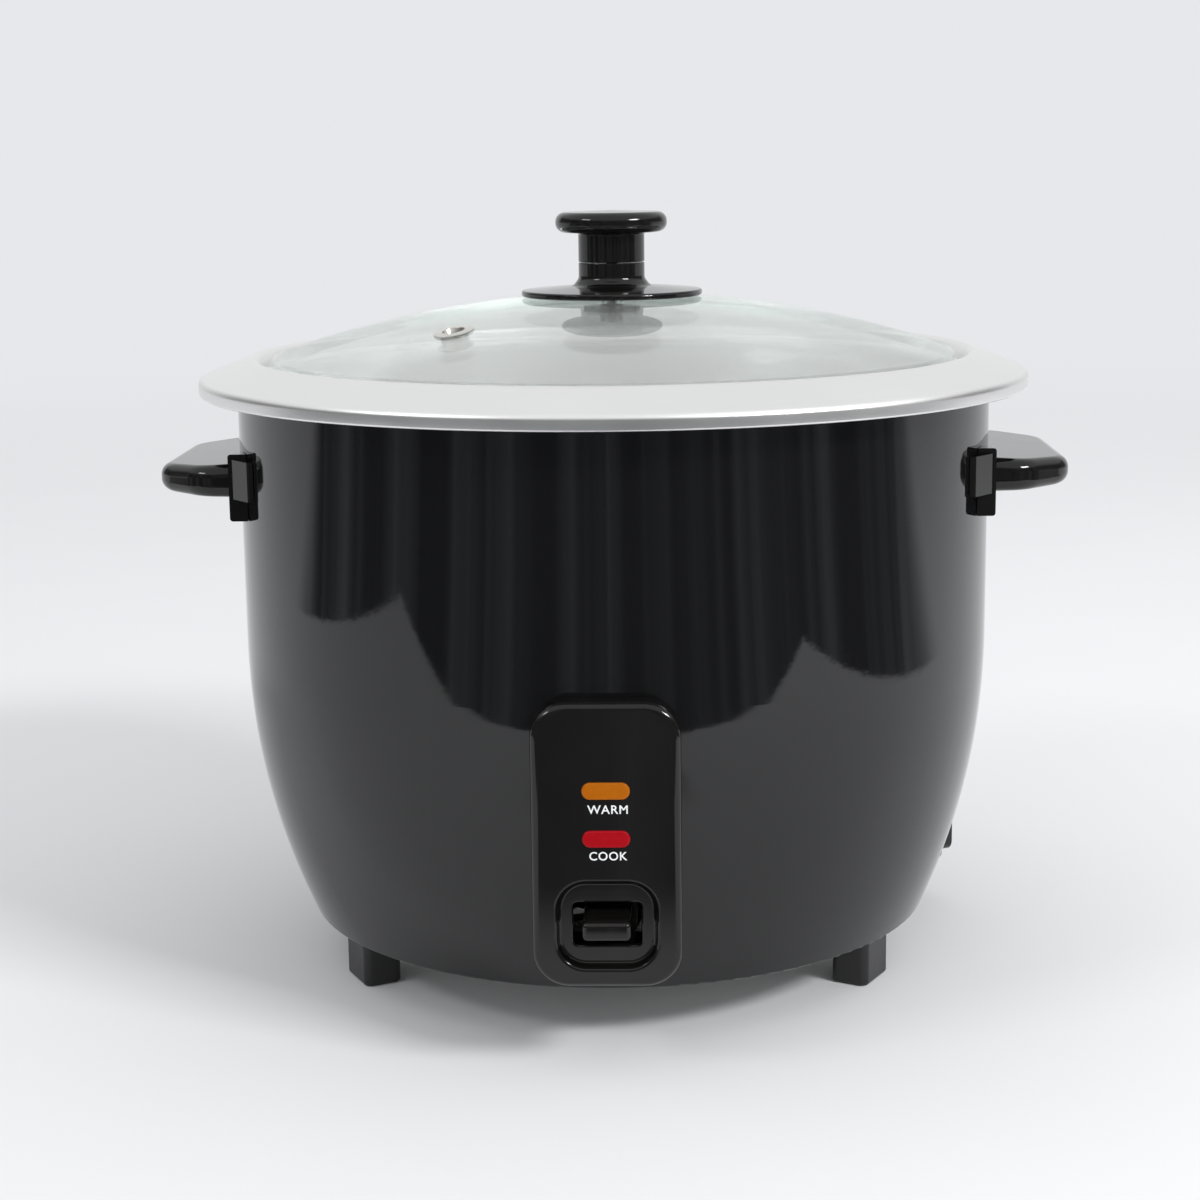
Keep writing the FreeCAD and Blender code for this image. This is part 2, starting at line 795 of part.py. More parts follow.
def make_handle(label, degrees):
    side = slab(f"{label}_side", "XZ_Plane", [
        ("root_x", "ear_low"),
        ("ear_tip", "ear_tip_low"),
        ("ear_tip", "ear_tip_high"),
        ("root_x", "ear_high"),
    ], "-ear_half", "2 * ear_half")
    plan = slab(f"{label}_plan", "XY_Plane", [
        ("root_x", "-ear_half"),
        ("ear_shoulder", "-ear_half", "ear_corner"),
        ("ear_tip", "-ear_tip_half", "ear_corner"),
        ("ear_tip", "ear_tip_half", "ear_corner"),
        ("ear_shoulder", "ear_half", "ear_corner"),
        ("root_x", "ear_half"),
    ], "ear_low - 1", "ear_high - ear_low + 2")
    ear = common(side, plan)
    doc.recompute()
    soft = doc.addObject("Part::Fillet", "Soft")
    soft.Base = ear
    upright = sizes["ear_round"]
    soft.Edges = [(i, sizes["ear_round"], sizes["ear_round"]) for i, edge in enumerate(ear.Shape.Edges, 1)
                  if edge.BoundBox.XMax > sizes["pad_end_x"] and edge.BoundBox.ZLength < upright]
    pad = slab(f"{label}_pad", "XY_Plane", [
        ("root_x", "-pad_half"),
        ("pad_end_x", "-pad_half", "lug_round"),
        ("lug_x - lug_round", "-lug_y - lug_wide"),
        ("lug_x - lug_round", "lug_y + lug_wide"),
        ("pad_end_x", "pad_half", "lug_round"),
        ("root_x", "pad_half"),
    ], "pad_low", "pad_high - pad_low")
    lugs = [slab(f"{label}_lug", "XZ_Plane", rectangle("root_x", "lug_x", "lug_low", "lug_high", "lug_round"),
                 start, "lug_wide") for start in ("lug_y", "-lug_y - lug_wide")]
    pilots = [rod("screw_r + hole_gap", "handle_screw_long + head_t / 2", "handle_screw_x", y,
                  "handle_screw_z", "x") for y in handle_screw_sides]
    node(turn_about_z(cut(fuse(soft, pad, *lugs), envelope, *pilots), degrees), label)


def make_handle_screws():
    screws = []
    for degrees in (0, 180):
        pair = [screw("handle_screw_x", y, "handle_screw_z", "x", "handle_screw_long")
                for y in handle_screw_sides]
        screws.append(turn_about_z(group(pair), degrees))
    node(group(screws), "handle_screws")


def make_inlet():
    barrel = slab("inlet_barrel", "YZ_Plane",
                  centred("inlet_wide", "inlet_low", "inlet_high", "inlet_corner"),
                  "inlet_x - inlet_depth", "inlet_depth")
    flange = cut(slab("inlet_flange", "YZ_Plane", centred(
        "inlet_flange_wide", "inlet_low", "inlet_high", "inlet_corner"),
        "inlet_x - inlet_depth", "inlet_depth - inlet_x + inlet_flange_x"), envelope)
    socket = slab("inlet_socket", "YZ_Plane", centred(
        "socket_wide", "socket_z - socket_high / 2", "socket_z + socket_high / 2", "inlet_corner"),
        "inlet_x - socket_deep", "2 * socket_deep")
    slots = [pin(side, rise, "hole_gap / 2") for side, rise in pin_spots]
    screw_holes = [rod("screw_r + hole_gap", "inlet_depth", "inlet_x - inlet_depth", side, "socket_z", "x")
                   for side in ("-inlet_screw_y", "inlet_screw_y")]
    housing = cut(fuse(barrel, flange), socket, *slots, *screw_holes)
    node(turn_about_z(housing, sizes["inlet_angle"]), "power_inlet")
    pins = [pin(side, rise, "0") for side, rise in pin_spots]
    node(turn_about_z(group(pins), sizes["inlet_angle"]), "inlet_pins")
    screws = [screw("inlet_flange_x - inlet_screw_long", side, "socket_z", "x", "inlet_screw_long",
                    head_at="high") for side in ("-inlet_screw_y", "inlet_screw_y")]
    node(turn_about_z(group(screws), sizes["inlet_angle"]), "inlet_screws")


pin_spots = (("-pin_side", "-pin_drop"), ("pin_side", "-pin_drop"), ("0", "earth_rise"))


def pin(side, rise, grow):
    return box("pin_tip_x - pin_long", f"{side} - pin_thick / 2 - {grow}",
               f"socket_z + {rise} - pin_wide / 2 - {grow}",
               "pin_long", f"pin_thick + 2 * {grow}", f"pin_wide + 2 * {grow}")


def element_tube(radius):
    # an open ring with both ends turned down, its gap towards the back
    ring = doc.addObject("Part::Torus", "Ring")
    bind(ring, "Radius1", "tube_ring")
    bind(ring, "Radius2", radius)
    bind(ring, "Angle3", "tube_sweep")
    opening = (360 - sizes["tube_sweep"]) / 2
    put(ring, "0", "0", "tube_z", Rotation(Vector(0, 0, 1), 90 + opening))
    pieces = [ring]
    for x, y in element_ends:
        pieces.append(ball(radius, x, y, "tube_z"))
        pieces.append(rod(radius, "tube_z - tube_end_z", x, y, "tube_end_z"))
    return fuse(*pieces)


element_ends = [(f"{side} * tube_ring * sin(180 - tube_sweep / 2)", "tube_ring * cos(180 - tube_sweep / 2)")
                for side in ("-1", "1")]


def make_heater():
    casting = turned("plate_casting", [
        ("heat_hole", "heat_top", "heat_edge / 2"),
        ("heat_r", "heat_top", "heat_edge"),
        ("heat_r", "heat_low", "heat_edge"),
        ("ridge_out + ridge_draft", "heat_low", "heat_edge"),
        ("ridge_out", "ridge_low", "heat_edge"),
        ("ridge_in", "ridge_low", "heat_edge"),
        ("ridge_in - ridge_draft", "heat_low", "heat_edge"),
        ("heat_hole", "heat_low"),
    ])
    threads = [rod("post_screw_r + hole_gap", "post_screw_top + heat_edge / 2 - heat_low", x, y, "heat_low")
               for x, y in post_places]
    threads += [rod("screw_r + hole_gap", "plate_screw_long", x, y, "heat_low")
                for x, y, sheet_t in plate_screw_places]
    node(cut(casting, element_tube("tube_r + hole_gap"), *threads), "heating_plate")
    node(element_tube("tube_r"), "heating_element")
    tabs = [rod("tab_r", "tube_end_z - tab_low", x, y, "tab_low") for x, y in element_ends]
    node(group(tabs), "element_terminals")
    beads = [cut(rod("bead_r", "bead_t", x, y, "tube_end_z - bead_t"),
                 rod("tab_r + hole_gap", "bead_t", x, y, "tube_end_z - bead_t")) for x, y in element_ends]
    node(group(beads), "terminal_beads")

    posts = [cut(rod("post_r", f"heat_low - ({chassis_top})", x, y, chassis_top),
                 rod("post_screw_r + hole_gap", f"heat_low - ({chassis_top})", x, y, chassis_top))
             for x, y in post_places]
    node(group(posts), "heater_posts")
    bolts = [screw(x, y, "edge_z + shell_wall", "z", "post_screw_top - edge_z - shell_wall",
                   "post_screw_r", "post_head_r") for x, y in post_places]
    node(group(bolts), "heater_screws")


# what hangs under the plate: place of each small screw, and the sheet that it holds
plate_screw_places = [(f"{side} * strap_screw_x", "0", "seat_t") for side in ("-1", "1")]
plate_screw_places += [(f"{side} * warm_screw_x", "warm_y", "clip_t") for side in ("-1", "1")]
plate_screw_places += [(f"{side} * clip_x", "-fuse_y - clip_reach", "clip_t") for side in ("-1", "1")]


def make_plate_screws():
    screws = [screw(x, y, f"heat_low - {sheet_t}", "z", "plate_screw_long")
              for x, y, sheet_t in plate_screw_places]
    node(group(screws), "plate_screws")


def plate_screw_hole(x, y, sheet_t):
    return rod("screw_r + hole_gap", sheet_t, x, y, f"heat_low - {sheet_t}")


def make_warm_thermostat():
    disc = rod("warm_r", "warm_t", "0", "warm_y", "heat_low - warm_t")
    strap = box("-warm_screw_x - clip_wide / 2", "warm_y - clip_wide / 2", "heat_low - clip_t",
                "2 * warm_screw_x + clip_wide", "clip_wide", "clip_t")
    holes = [plate_screw_hole(*place) for place in plate_screw_places[2:4]]
    node(cut(fuse(disc, strap), *holes), "keep_warm_thermostat")


def make_fuse():
    # the fuse lies along X under the plate in two sheet clips
    height = "heat_low - clip_t - fuse_r - hole_gap"
    node(rod("fuse_r", "fuse_long", "-fuse_long / 2", "-fuse_y", height, "x"), "thermal_fuse")
    clips = []
    for side, place in zip(("-1", "1"), plate_screw_places[4:]):
        middle = f"{side} * clip_x"
        foot = box(f"{middle} - clip_wide / 2", "-fuse_y - clip_reach - clip_wide / 2", "heat_low - clip_t",
                   "clip_wide", "clip_reach + clip_wide / 2", "clip_t")
        start = f"{middle} - clip_loop / 2"
        loop = rod("fuse_r + hole_gap + clip_t", "clip_loop", start, "-fuse_y", height, "x")
        bore = rod("fuse_r + hole_gap", "clip_loop", start, "-fuse_y", height, "x")
        clips.append(cut(fuse(foot, loop), bore, plate_screw_hole(*place)))
    node(group(clips), "fuse_clips")


def make_limiter():
    cap_top = "heat_top"
    node(turned("sensor_cup", [
        ("0", cap_top),
        ("cap_r", cap_top, "cap_round"),
        ("cap_r", "cap_low"),
        ("cap_r - cap_wall", "cap_low"),
        ("cap_r - cap_wall", "heat_top - cap_wall", "cap_round / 3"),
        ("0", "heat_top - cap_wall"),
    ]), "sensor_cap")
    ferrite_low = "heat_top - cap_wall - ferrite_t"
    node(rod("ferrite_r", "ferrite_t", "0", "0", ferrite_low), "sensor_ferrite")
    magnet_top = f"{ferrite_low} - magnet_gap"
    node(cut(rod("magnet_r", "magnet_t", "0", "0", f"{magnet_top} - magnet_t"),
             rod("rod_r + hole_gap", "magnet_t", "0", "0", f"{magnet_top} - magnet_t")), "limiter_magnet")
    node(fuse(rod("rod_r", f"{magnet_top} - rod_low", "0", "0", "rod_low"),
              rod("collar_r", "collar_t", "0", "0", "collar_z"),
              rod("nut_r", "nut_t", "0", "0", "rod_low")), "pull_rod")

    disc = rod("seat_r", "seat_t", "0", "0", "seat_z")
    strip = box("-strap_x", "-strap_wide / 2", "seat_z", "2 * strap_x", "strap_wide", "seat_t")
    arms = []
    for x, foot_x in (("-strap_x - seat_t", "-strap_x - strap_foot"), ("strap_x", "strap_x")):
        arms.append(box(x, "-strap_wide / 2", "seat_z", "seat_t", "strap_wide", "heat_low - seat_z"))
        arms.append(box(foot_x, "-strap_wide / 2", "heat_low - seat_t", "strap_foot", "strap_wide", "seat_t"))
    holes = [plate_screw_hole(*place) for place in plate_screw_places[:2]]
    holes.append(rod("rod_r + hole_gap", "seat_t", "0", "0", "seat_z"))
    node(cut(fuse(disc, strip, *arms), *holes), "limiter_strap")

    node(spring(sizes["sensor_turns"], sizes["sensor_spring_r"], sizes["sensor_wire"],
                value("seat_z + seat_t"), value("heat_top - cap_wall")), "sensor_spring")
    node(spring(sizes["limiter_turns"], sizes["limiter_spring_r"], sizes["limiter_wire"],
                value("collar_z + collar_t"), value("seat_z")), "limiter_spring")


def make_lever():
    # bent strip, drawn from the side, front end first
    upper = [
        ("-strip_front", "strip_front_z"),
        ("-bend_front", "strip_front_z"),
        ("-bend_fall", "strip_mid_z"),
        ("-bend_back", "strip_mid_z"),
        ("-bend_end", "strip_end_z"),
        ("strip_end", "strip_end_z"),
    ]
    lower = [(y, f"{z} - strip_t") for y, z in reversed(upper)]
    strip = slab("lever_strip", "YZ_Plane", upper + lower, "-strip_wide / 2", "strip_wide")
    fork = box("-fork_wide / 2", "-fork_wide / 2", "strip_end_z - 2 * strip_t",
               "fork_wide", "fork_long", "4 * strip_t")
    cheeks = [box(x, "-pivot_y - cheek_wide / 2", "cheek_low",
                  "cheek_t", "cheek_wide", "strip_mid_z - cheek_low")
              for x in ("-strip_wide / 2", "strip_wide / 2 - cheek_t")]
    bore = rod("pin_r + hole_gap / 2", "strip_wide", "-strip_wide / 2", "-pivot_y", "pivot_z", "x")
    node(cut(fuse(strip, *cheeks), fork, bore), "cook_lever")

    tongue = slab("tongue_moulding", "YZ_Plane", [
        ("-tongue_y", "tongue_low", "tongue_round"),
        ("-tongue_back", "tongue_low"),
        ("-tongue_back", "tongue_high + tongue_slope"),
        ("-tongue_back - tongue_flat", "tongue_high + tongue_slope"),
        ("-tongue_y", "tongue_high - tongue_slope", "tongue_round"),
    ], "-tongue_wide / 2", "tongue_wide")
    sleeve = box("-strip_wide / 2 - hole_gap", "-strip_front - hole_gap",
                 "strip_front_z - strip_t - hole_gap",
                 "strip_wide + 2 * hole_gap", "strip_front", "strip_t + 2 * hole_gap")
    node(cut(tongue, sleeve), "lever_tongue")

    base = box("-bracket_base / 2", "-pivot_y - bracket_wide / 2", chassis_top,
               "bracket_base", "bracket_wide", "cheek_t")
    walls = [box(x, "-pivot_y - bracket_wide / 2", chassis_top,
                 "cheek_t", "bracket_wide", f"bracket_high - ({chassis_top})")
             for x in ("-bracket_x - cheek_t", "bracket_x")]
    shelf = box("bracket_x", "-switch_y", chassis_top,
                "cheek_t", "switch_y - pivot_y", "switch_screw_z + head_r - edge_z")
    bore = rod("pin_r + hole_gap / 2", "bracket_base", "-bracket_base / 2", "-pivot_y", "pivot_z", "x")
    node(cut(fuse(base, shelf, *walls), bore, *switch_bores()), "lever_bracket")
    pin_end = "(bracket_x + cheek_t + pin_head)"
    shaft = rod("pin_r", f"2 * {pin_end}", f"-{pin_end}", "-pivot_y", "pivot_z", "x")
    head = rod("pin_r + pin_head", "pin_head", f"-{pin_end} - hole_gap", "-pivot_y", "pivot_z", "x")
    node(fuse(shaft, head), "lever_pin")


switch_left = "switch_x - switch_wide / 2"
switch_screw_rows = ("-switch_y + switch_screw_in", "-switch_y + switch_long - switch_screw_in")


def switch_bores():
    return [rod("screw_r + hole_gap", "2 * switch_wide", switch_left, y, "switch_screw_z", "x")
            for y in switch_screw_rows]


def make_switch():
    # the switch lies against the bracket's long wall, with its plunger under the lever
    case = box(switch_left, "-switch_y", chassis_top,
               "switch_wide", "switch_long", f"switch_high - ({chassis_top})")
    well = rod("plunger_r + hole_gap / 2", "switch_high - plunger_low + 2 * plunger_play",
               "switch_x", "-plunger_y", "plunger_low - plunger_play")
    node(cut(case, well, *switch_bores()), "micro_switch")
    node(rod("plunger_r", "plunger_top - plunger_low", "switch_x", "-plunger_y", "plunger_low"),
         "switch_plunger")
    screws = [screw(switch_left, y, "switch_screw_z", "x", f"bracket_x + cheek_t - ({switch_left})")
              for y in switch_screw_rows]
    node(group(screws), "switch_screws")


def make_pot():
    inside = "heat_top + gap + pot_sheet"
    node(turned("drawn_pot", [
        ("0", "heat_top + gap"),
        ("pot_low_r + pot_sheet", "heat_top + gap", "pot_bend + pot_sheet"),
        ("pot_r + pot_sheet", "ledge_z - pot_sheet", "step_round"),
        ("step_under_r", "ledge_z - pot_sheet", "step_round"),
        ("crest_under_r", "crest_under_z", "step_round"),
        ("brim_r - pot_sheet", "brim_under", "brim_round - pot_sheet"),
        ("brim_r - pot_sheet", "brim_low"),
        ("brim_r", "brim_low", "hem_round"),
        ("brim_r", "brim_top", "brim_round"),
        ("crest_r", "crest_z", "crest_round"),
        ("step_r", "ledge_z", "step_round"),
        ("pot_r", "ledge_z", "2 * step_round"),
        ("pot_low_r", inside, "pot_bend"),
        ("0", inside),
    ]), "inner_pot")


def make_lid():
    centre = "dome_top - dome_r"
    dome = cut(ball("dome_r", "0", "0", centre), ball("dome_r - glass_t", "0", "0", centre))
    disc = common(dome, rod("lid_r", "dome_top", "0", "0", "dome_top / 2"))
    doc.recompute()
    eased = doc.addObject("Part::Fillet", "Eased")
    eased.Base = disc
    eased.Edges = [(i, sizes["lid_edge"], sizes["lid_edge"]) for i, edge in enumerate(disc.Shape.Edges, 1)
                   if edge.Length > 6 * sizes["lid_r"]]
    vent_height = "dome_top - dome_r + sqrt(dome_r ^ 2 - vent_x ^ 2 - vent_y ^ 2)"
    outward = Vector(sizes["vent_x"], sizes["vent_y"], value(f"{vent_height} - dome_top + dome_r"))
    tilt = Rotation(Vector(0, 0, 1), outward)
    vent = put(group([rod("eyelet_r + hole_gap", "4 * glass_t", "0", "0", "-2 * glass_t")]),
               "vent_x", "vent_y", vent_height, tilt)
    knob_hole = rod("knob_hole_r", "dome_top", "0", "0", "dome_top / 2")
    node(cut(eased, knob_hole, vent), "glass_lid")

    under = "-glass_t - hole_gap"
    eyelet = turned("eyelet", [
        ("eyelet_bore", f"{under} - eyelet_t"),
        ("eyelet_low_r", f"{under} - eyelet_t"),
        ("eyelet_low_r", under),
        ("eyelet_r", under),
        ("eyelet_r", "hole_gap"),
        ("eyelet_top_r", "hole_gap"),
        ("eyelet_top_r", "hole_gap + eyelet_t / 2"),
        ("eyelet_bore + eyelet_t", "hole_gap + eyelet_t", "eyelet_t / 2"),
        ("eyelet_bore", "-eyelet_t", "eyelet_t / 2"),
    ])
    node(put(eyelet, "vent_x", "vent_y", vent_height, tilt), "vent_grommet")

    bolt_way = "knob_bolt_r + hole_gap"
    node(turned("knob_foot", [
        (bolt_way, "dome_top + hole_gap"),
        ("disc_r", "disc_edge_low", "disc_edge_round"),
        ("disc_r", "disc_edge_high", "disc_edge_round"),
        ("disc_hub_r", "disc_hub_z", "disc_hub_round"),
        ("stem_r", "disc_hub_z + disc_hub_round", "disc_hub_round"),
        ("stem_r", "seam_z - seam_half", "seam_round"),
        (bolt_way, "seam_z - seam_half"),
    ]), "knob_base")
    node(turned("knob_head", [
        (bolt_way, "seam_z + seam_half"),
        ("stem_r", "seam_z + seam_half", "seam_round"),
        ("stem_r", "knob_low", "knob_neck"),
        ("knob_r", "knob_low", "knob_round"),
        ("knob_r", "knob_high", "knob_round"),
        ("0", "knob_crown"),
        ("0", "knob_bolt_top + knob_neck"),
        (bolt_way, "knob_bolt_top + knob_neck"),
    ]), "knob_top")
    gasket_top = "dome_top - glass_t - gap"
    washer_top = f"{gasket_top} - gasket_t"
    head_top = f"{washer_top} - washer_t"
    node(turned("soft_ring", centre_ring("gasket_r", f"{gasket_top} - gasket_t", gasket_top)), "lid_gasket")
    node(turned("steel_ring", centre_ring("washer_r", f"{washer_top} - washer_t", washer_top)), "lid_washer")
    node(screw("0", "0", head_top, "z", f"knob_bolt_top - ({head_top})",
               "knob_bolt_r", "bolt_head_r", "bolt_head_t"), "knob_screw")


def centre_ring(radius, low, high):
    return rectangle("knob_bolt_r + hole_gap", radius, low, high)


def make_leads():
    # each lead runs from one terminal to the next through the room under the plate
    tail = "pin_tip_x - pin_long"

    def inlet_point(along, side, height):
        return (f"({along}) * cos(inlet_angle) - ({side}) * sin(inlet_angle)",
                f"({along}) * sin(inlet_angle) + ({side}) * cos(inlet_angle)", height)

    left_end, right_end = element_ends
    low_row = "socket_z - pin_drop"
    fuse_z = "heat_low - clip_t - fuse_r - hole_gap"
    node(lead([
        inlet_point(tail, "-pin_side", low_row),
        inlet_point(f"{tail} - 18", "-pin_side", low_row),
        (44, -20, 45),
        (30, "-fuse_y", fuse_z),
        ("fuse_long / 2", "-fuse_y", fuse_z),
    ]), "live_lead")
    node(lead([
        ("-fuse_long / 2", "-fuse_y", fuse_z),
        (-28, "-fuse_y", fuse_z),
        (-40, 0, 48),
        (-36, 38, 40),
        left_end + (38,),
        left_end + ("tab_low",),
    ]), "fuse_lead")
    node(lead([
        inlet_point(tail, "pin_side", low_row),
        inlet_point(f"{tail} - 18", "pin_side", low_row),
        (52, -20, 26),
        (20, -46, 26),
        (-17, -60, 26),
        (-17, -87.5, 33.5),
        (switch_left, -87.5, 33.5),
    ]), "neutral_lead")
    node(lead([
        (switch_left, -92, 35.5),
        (-22, -92, 35.5),
        (-48, -30, 28),
        (-40, 40, 28),
        right_end + (28,),
        right_end + ("tab_low",),
    ]), "switch_lead")
    node(lead([
        inlet_point(tail, "0", "socket_z + earth_rise"),
        inlet_point(f"{tail} - 14", "0", "socket_z + earth_rise"),
        (60, 46, 36),
        (60, 46, chassis_top),
    ]), "earth_lead")
    amber = lead([
        ("lamp_long / 2", "-lamp_y", "amber_z"),
        (15, "-lamp_y", "amber_z"),
        (15, -122, 72),
        (15, -112, 52),
        (5, -107, 30),
        (5, "-switch_y", 30),
    ])
    red = lead([
        ("-lamp_long / 2", "-lamp_y", "red_z"),
        (-15, "-lamp_y", "red_z"),
        (-15, -121, 60),
        (-15, -112, 46),
        (-12, -96.4, 34.5),
        (switch_left, -96.4, 34.5),
    ])
    node(group([amber, red]), "lamp_leads")


make_shell()
make_base()
make_foot("foot_rear", 90)
make_foot("foot_front_left", -90 - sizes["foot_angle"])
make_foot("foot_front_right", -90 + sizes["foot_angle"])
make_panel()
make_lamp("amber", "amber_z")
make_lamp("red", "red_z")
make_lamp_holder()
make_handle("handle_right", 0)
make_handle("handle_left", 180)
make_handle_screws()
make_inlet()
make_heater()
make_plate_screws()
make_warm_thermostat()
make_fuse()
make_limiter()
make_lever()
make_switch()
make_leads()
make_pot()
make_lid()

doc.recompute()
for thing in doc.Objects:
    if {"Invalid", "Error"} & set(thing.State):
        raise RuntimeError(f"{thing.Label} did not build: {thing.State}")
for thing in nodes:
    if thing.Shape.isNull() or not thing.Shape.isValid() or not thing.Shape.Solids:
        raise RuntimeError(f"{thing.Label} has no sound shape")

os.makedirs("parts", exist_ok=True)
for thing in nodes:
    thing.Shape.exportStep(f"parts/{thing.Label}.step")
    print(f"{thing.Label}: {len(thing.Shape.Solids)} solids, {thing.Shape.Volume / 1000:.2f} cm3")
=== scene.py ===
import math
import bpy
from mathutils import Matrix, Vector


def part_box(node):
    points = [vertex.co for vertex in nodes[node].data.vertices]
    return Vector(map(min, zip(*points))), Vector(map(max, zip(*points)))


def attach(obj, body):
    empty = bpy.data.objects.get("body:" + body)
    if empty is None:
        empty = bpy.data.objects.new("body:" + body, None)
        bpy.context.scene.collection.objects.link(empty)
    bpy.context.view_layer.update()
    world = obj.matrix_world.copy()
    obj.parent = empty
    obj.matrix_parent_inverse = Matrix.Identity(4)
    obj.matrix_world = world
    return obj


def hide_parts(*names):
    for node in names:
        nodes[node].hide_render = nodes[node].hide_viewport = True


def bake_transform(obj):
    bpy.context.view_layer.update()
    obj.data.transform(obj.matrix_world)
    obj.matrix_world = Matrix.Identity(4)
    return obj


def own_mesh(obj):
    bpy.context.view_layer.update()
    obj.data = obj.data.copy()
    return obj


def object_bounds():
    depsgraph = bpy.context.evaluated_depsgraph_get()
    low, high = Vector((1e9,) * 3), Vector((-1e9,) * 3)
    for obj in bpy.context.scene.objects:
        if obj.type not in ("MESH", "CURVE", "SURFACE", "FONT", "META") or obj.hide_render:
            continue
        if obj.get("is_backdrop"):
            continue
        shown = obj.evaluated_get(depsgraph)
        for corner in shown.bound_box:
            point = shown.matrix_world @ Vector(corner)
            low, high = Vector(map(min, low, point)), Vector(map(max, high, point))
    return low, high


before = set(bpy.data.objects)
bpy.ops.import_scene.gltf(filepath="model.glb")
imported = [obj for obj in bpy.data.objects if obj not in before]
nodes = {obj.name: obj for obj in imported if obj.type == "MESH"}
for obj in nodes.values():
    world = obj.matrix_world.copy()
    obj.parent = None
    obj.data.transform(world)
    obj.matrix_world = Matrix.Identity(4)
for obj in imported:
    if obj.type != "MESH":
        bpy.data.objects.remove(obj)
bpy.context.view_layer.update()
scene = bpy.context.scene
scene.view_settings.view_transform = "Standard"
bpy.ops.object.select_all(action="DESELECT")
mm = 0.001
print("frame loaded:", len(nodes), "nodes")


# Node boards: sums on sockets are written as plain Python

class Wire:
    def __init__(self, board, socket):
        self.board = board
        self.socket = socket

    def work(self, operation, first, second):
        return self.board.add("Math", {"operation": operation}, {0: first, 1: second})

    def __add__(self, other):
        return self.work("ADD", self, other)

    def __sub__(self, other):
        return self.work("SUBTRACT", self, other)

    def __rsub__(self, other):
        return self.work("SUBTRACT", other, self)

    def __mul__(self, other):
        return self.work("MULTIPLY", self, other)

    def __pow__(self, other):
        return self.work("POWER", self, other)

    __radd__ = __add__
    __rmul__ = __mul__


class Board:
    def __init__(self, tree):
        self.tree = tree

    def add(self, kind, settings=None, sockets=None, out=0):
        made = self.tree.nodes.new("ShaderNode" + kind)
        for name, setting in (settings or {}).items():
            setattr(made, name, setting)
        for name, given in (sockets or {}).items():
            if isinstance(given, Wire):
                self.tree.links.new(given.socket, made.inputs[name])
            else:
                made.inputs[name].default_value = given
        return Wire(self, made.outputs[out])

    def place(self):  # where on the piece
        return self.add("TexCoord", out="Object")

    def noise(self, scale, detail=2.0, where=None, rough=0.5):
        return self.add("TexNoise", None, {
            "Vector": where or self.place(), "Scale": scale, "Detail": detail, "Roughness": rough})

    def ease(self, wire, low, high, start=0.0, end=1.0):
        return self.add("MapRange", {"interpolation_type": "SMOOTHSTEP"}, {
            "Value": wire, "From Min": low, "From Max": high, "To Min": start, "To Max": end})

    def blendColour(self, factor, first, second):
        return self.add("Mix", {"data_type": "RGBA"}, {"Factor": factor, 6: first, 7: second}, out=2)

    def relief(self, height, depth):
        return self.add("Bump", None, {"Height": height, "Distance": depth})

    def largest(self, first, *others):
        for other in others:
            first = self.add("Math", {"operation": "MAXIMUM"}, {0: first, 1: other})
        return first

    def turned(self):  # distance from the drum's axis, and height
        split = self.add("SeparateXYZ", None, {0: self.place()})
        across, along, up = (Wire(self, split.socket.node.outputs[i]) for i in range(3))
        return (across * across + along * along) ** 0.5, up


def newFinish(name, colour, rough, **constants):
    material = bpy.data.materials.new(name)
    material.use_nodes = True
    shader = material.node_tree.nodes["Principled BSDF"]
    shader.inputs["Base Color"].default_value = (*colour, 1)
    shader.inputs["Roughness"].default_value = rough
    for socket, setting in constants.items():
        shader.inputs[socket.replace("_", " ")].default_value = setting
    return material, Board(material.node_tree), shader


def feed(board, shader, **wires):
    for socket, wire in wires.items():
        board.tree.links.new(wire.socket, shader.inputs[socket.replace("_", " ")])


def wear(material, *names):
    for name in names:
        nodes[name].material_slots[0].material = material


# Finishes

enamel = {
    "colour": (0.0045, 0.0045, 0.005),
    "dust": (0.012, 0.012, 0.012),
    "dustCut": (0.84, 0.88),
    "rough": (0.03, 0.06),
    "peelDeep": 0.000004,
}


def drumEnamel():
    material, board, shader = newFinish("drumEnamel", enamel["colour"], 0.05, IOR=1.52)
    smear = board.noise(14, 4)
    peel = board.noise(420, 1)
    specks = board.ease(board.noise(1300, 0), *enamel["dustCut"])
    feed(board, shader,
         Base_Color=board.blendColour(specks, (*enamel["colour"], 1), (*enamel["dust"], 1)),
         Roughness=board.ease(smear, 0.35, 0.7, *enamel["rough"]) + specks * 0.15,
         Normal=board.relief(peel, enamel["peelDeep"]))
    return material


moulding = {
    "dark": (0.004, 0.0037, 0.0035),
    "light": (0.007, 0.0064, 0.006),
    "rough": (0.06, 0.12),
    "grainDeep": 0.000006,
}


def glossMoulding():
    material, board, shader = newFinish("glossMoulding", moulding["dark"], 0.08, IOR=1.46)
    flow = board.noise(60, 3)
    grain = board.noise(1500, 2)
    feed(board, shader,
         Base_Color=board.blendColour(flow, (*moulding["dark"], 1), (*moulding["light"], 1)),
         Roughness=board.ease(flow, 0.3, 0.75, *moulding["rough"]),
         Normal=board.relief(grain, moulding["grainDeep"]))
    return material


def matteMoulding(name, dark, light, rough):
    material, board, shader = newFinish(name, dark, rough)
    grain = board.noise(1100, 3)
    cloud = board.noise(45, 3)
    feed(board, shader,
         Base_Color=board.blendColour(cloud, (*dark, 1), (*light, 1)),
         Roughness=board.ease(cloud, 0.3, 0.7, rough - 0.06, rough + 0.08),
         Normal=board.relief(grain, 0.00003))
    return material


